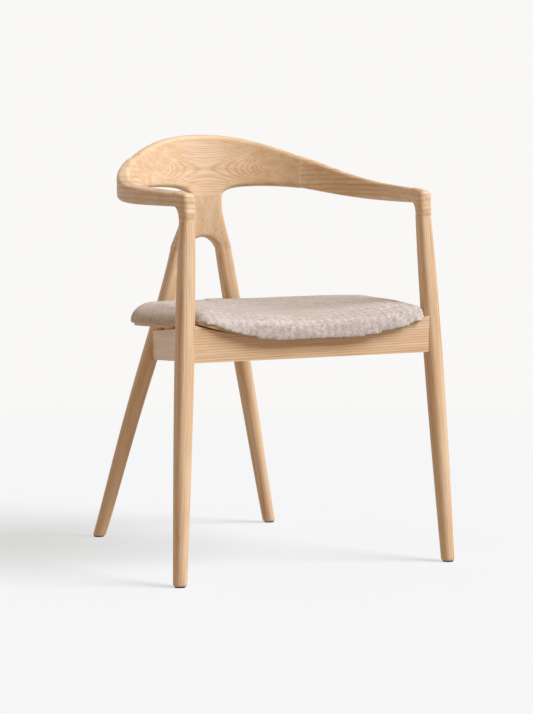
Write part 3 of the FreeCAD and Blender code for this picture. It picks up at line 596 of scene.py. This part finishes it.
class SeatCushion(bpy.types.Operator):
    """Blow up the padded seat from the plain foam and cover, as cloth over foam"""
    bl_idname = "armchair.seat_cushion"
    bl_label = "Seat cushion"

    def execute(self, context):
        scene = context.scene
        shape = scene.cushion_shape
        piece = stand("seat_cushion", joined(["seat_foam", "seat_cover"]), wool_weave(scene.chair_look))
        remeshed(piece, shape.voxel)
        self.round_and_pin(piece, shape)
        self.blow_up(context, piece, shape)
        subdivide = piece.modifiers.new("smooth", "SUBSURF")
        subdivide.levels = subdivide.render_levels = 1
        settle(piece)
        self.pull_over_rim(piece, shape)
        piece.data.shade_smooth()
        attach(piece, "root")
        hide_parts("seat_foam", "seat_cover")
        return {"FINISHED"}

    def round_and_pin(self, piece, shape):
        """Round the pad's edges and pin what lies on the shell."""
        pad = bmesh.new()
        pad.from_mesh(piece.data)
        sanded(pad, shape.rounding)
        pad.normal_update()
        resting = [vert.index for vert in pad.verts if vert.normal.z < FACES_DOWN]
        pad.to_mesh(piece.data)
        pad.free()
        pinned = piece.vertex_groups.new(name="on the shell")
        pinned.add(resting, 1.0, "REPLACE")

    def blow_up(self, context, piece, shape):
        """Simulate the cover as cloth under the foam's pressure, and cap how far it swells."""
        start = [vert.co.copy() for vert in piece.data.vertices]
        cloth = piece.modifiers.new("cover", "CLOTH")
        cloth.settings.use_pressure = True
        cloth.settings.uniform_pressure_force = shape.pressure
        cloth.settings.vertex_group_mass = "on the shell"
        cloth.settings.effector_weights.gravity = 0.0
        cloth.point_cache.frame_start = 1
        cloth.point_cache.frame_end = shape.frames
        for frame_number in range(1, shape.frames + 1):
            context.scene.frame_set(frame_number)
        settle(piece)
        moves = [vert.co - before for vert, before in zip(piece.data.vertices, start)]
        moves = [move * min(1.0, shape.swell / max(move.length, MM)) for move in moves]
        for _ in range(shape.evening):
            moves = evened(piece.data, moves)
        for vert, before, move in zip(piece.data.vertices, start, moves):
            vert.co = before + move
        context.scene.frame_set(1)

    def pull_over_rim(self, piece, shape):
        """Fill the sides out past the shell and pull the cover's lower edge over the shell's rim."""
        shell = joined(["seat_shell"])
        rim = BVHTree.FromBMesh(shell)
        shell.free()
        moves = []
        for vert in piece.data.vertices:
            sideways = Vector((vert.normal.x, vert.normal.y, 0))
            move = sideways * (shape.fullness * ease(sideways.length, *FLANK_LEAN))
            gap = self.past_rim(rim, vert.co + move)
            if gap:
                pull = (1 - ease(gap.z, *HEM_RISE)) * ease(gap.xy.length, *HEM_REACH)
                move.z -= HEM_PULL * self.hem(vert.co, shape) * pull
            moves.append(move)
        for _ in range(shape.settling):
            moves = evened(piece.data, moves)
        for vert, move in zip(piece.data.vertices, moves):
            vert.co += move
            gap = self.past_rim(rim, vert.co)
            if gap:
                vert.co.z += max(0.0, -self.hem(vert.co, shape) - gap.z)

    def past_rim(self, rim, place):
        """The way from the shell's upper edge to a place outside it, or None over the shell."""
        if rim.ray_cast(place + UP, -UP)[0]:
            return None
        return place - rim.find_nearest(place + UP * RIM_SEARCH)[0]

    def hem(self, place, shape):
        """How far below the shell's upper edge the cover ends at a place.

        It hides the rim along the front, from left of the middle, and leaves most of it bare elsewhere.
        """
        front = ease(-place.y, *FRONT_BEGINS) * ease(place.x, *LEFT_FRONT_BEGINS)
        return shape.bare_drop + (shape.front_drop - shape.bare_drop) * front


# the studio's sweep, in metres: its left end, width, front edge, where it bends, the bend and the wall
SWEEP_LEFT = -9.0
SWEEP_WIDTH = 22.0
SWEEP_FRONT = -9.0
SWEEP_BEND = 5.0
SWEEP_RADIUS = 4.0
SWEEP_WALL = 6.0
SWEEP_STEPS = 24
# distances from the chair's middle over which the paper evens out, and its tones far and near
PAPER_FAR = 2.8
PAPER_NEAR = 1.3
PAPER_TONES = {
    "Base Color": ("#000000", "#9c9da0"),
    "Emission Color": ("#f9f8f6", "#c3c8ca"),
}
ROOM_COLOUR = "#ffdfc0"
ROOM_STRENGTH = 0.42
KEY_COLOUR = "#f8f9ff"
KEY_STRENGTH = 3.6
KEY_SOFTNESS = 0.6
KEY_FROM = Vector((0.85, -0.85, 1.05))
LENS = 121.06
FILM_WIDTH = 36.0
CAMERA_PLACE = Vector((-1.9866, -3.8807, 0.7695))
CAMERA_BACK = Vector((-0.46046, -0.88265, 0.09428))


def aimed(name, data, back, place=MIDDLE):
    """Put a light or camera in the scene, with its back turned to a direction."""
    thing = bpy.data.objects.new(name, data)
    thing.location = place
    thing.rotation_euler = back.to_track_quat("Z", "Y").to_euler()
    bpy.context.scene.collection.objects.link(thing)
    return thing


def seamless_paper():
    """Matt paper that takes the soft shadows near the chair and evens out to one pale tone beyond."""
    paper, tree, shader = surface("Seamless paper", Roughness=0.9, Specular_IOR_Level=0.0,
                                  Emission_Strength=1.0)
    place = add(tree, "ShaderNodeTexCoord")
    distance = add(tree, "ShaderNodeVectorMath", {"operation": "LENGTH"}, {0: place.outputs["Object"]})
    near = add(tree, "ShaderNodeMapRange", {"From Min": PAPER_FAR, "From Max": PAPER_NEAR},
               {"Value": distance.outputs["Value"]})
    for socket, (far_tone, near_tone) in PAPER_TONES.items():
        blend = add(tree, "ShaderNodeMix",
                    {"data_type": "RGBA", 6: linear(far_tone), 7: linear(near_tone)},
                    {0: near.outputs[0]})
        tree.links.new(blend.outputs[2], shader.inputs[socket])
    return paper


def points_of(made):
    """The vertices among what a bmesh operator made."""
    return [item for item in made if isinstance(item, bmesh.types.BMVert)]


class Studio(bpy.types.Operator):
    """Set the pale floor, the soft lights and the camera"""
    bl_idname = "armchair.studio"
    bl_label = "Studio"

    def execute(self, context):
        scene = context.scene
        scene.view_settings.view_transform = "Standard"
        self.lay_paper()
        world = bpy.data.worlds.new("Soft room light")
        scene.world = world
        world.use_nodes = True
        sky = world.node_tree.nodes["Background"]
        sky.inputs["Color"].default_value = linear(ROOM_COLOUR)
        sky.inputs["Strength"].default_value = ROOM_STRENGTH
        key = bpy.data.lights.new("Key", "SUN")
        key.energy = KEY_STRENGTH
        key.angle = KEY_SOFTNESS
        key.color = linear(KEY_COLOUR)[:3]
        aimed("Key", key, KEY_FROM)
        lens = bpy.data.cameras.new("Camera")
        lens.lens = LENS
        lens.sensor_width = FILM_WIDTH
        scene.camera = aimed("Camera", lens, CAMERA_BACK, CAMERA_PLACE)
        return {"FINISHED"}

    def lay_paper(self):
        """A pale sweep: floor, a wide bend and a wall behind."""
        sweep = bmesh.new()
        line = [sweep.verts.new((SWEEP_LEFT, along, 0.0)) for along in (SWEEP_FRONT, SWEEP_BEND)]
        sweep.edges.new(line)
        bend = bmesh.ops.spin(sweep, geom=[line[1]], cent=(SWEEP_LEFT, SWEEP_BEND, SWEEP_RADIUS),
                              axis=RIGHT, dvec=MIDDLE, angle=math.pi / 2, steps=SWEEP_STEPS)
        top = points_of(bend["geom_last"])[0]
        wall = sweep.verts.new(top.co + UP * SWEEP_WALL)
        sweep.edges.new((top, wall))
        across = bmesh.ops.extrude_edge_only(sweep, edges=sweep.edges[:])
        bmesh.ops.translate(sweep, verts=points_of(across["geom"]), vec=RIGHT * SWEEP_WIDTH)
        bmesh.ops.recalc_face_normals(sweep, faces=sweep.faces[:])
        floor = stand("studio_floor", sweep, seamless_paper())
        floor.visible_diffuse = False


class ArmchairPanel(bpy.types.Panel):
    """Armchair steps in the sidebar"""
    bl_idname = "VIEW3D_PT_armchair"
    bl_label = "Ash armchair"
    bl_space_type = "VIEW_3D"
    bl_region_type = "UI"
    bl_category = "Armchair"

    def draw(self, context):
        for step in STEPS:
            self.layout.operator(step.bl_idname)


SETTINGS = {"chair_look": ChairLook, "cushion_shape": CushionShape, "frame_shape": FrameShape}
STEPS = (WoodFrame, CarvedPieces, SeatShell, Joinery, SeatCushion, Studio)


def register():
    for item in (*SETTINGS.values(), *STEPS, ArmchairPanel):
        bpy.utils.register_class(item)
    for name, group in SETTINGS.items():
        setattr(bpy.types.Scene, name, PointerProperty(type=group))


def unregister():
    for name in SETTINGS:
        delattr(bpy.types.Scene, name)
    for item in (ArmchairPanel, *STEPS, *SETTINGS.values()):
        bpy.utils.unregister_class(item)


def main():
    register()
    for step in STEPS:
        family, name = step.bl_idname.split(".")
        getattr(getattr(bpy.ops, family), name)()


if __name__ == "__main__":
    main()
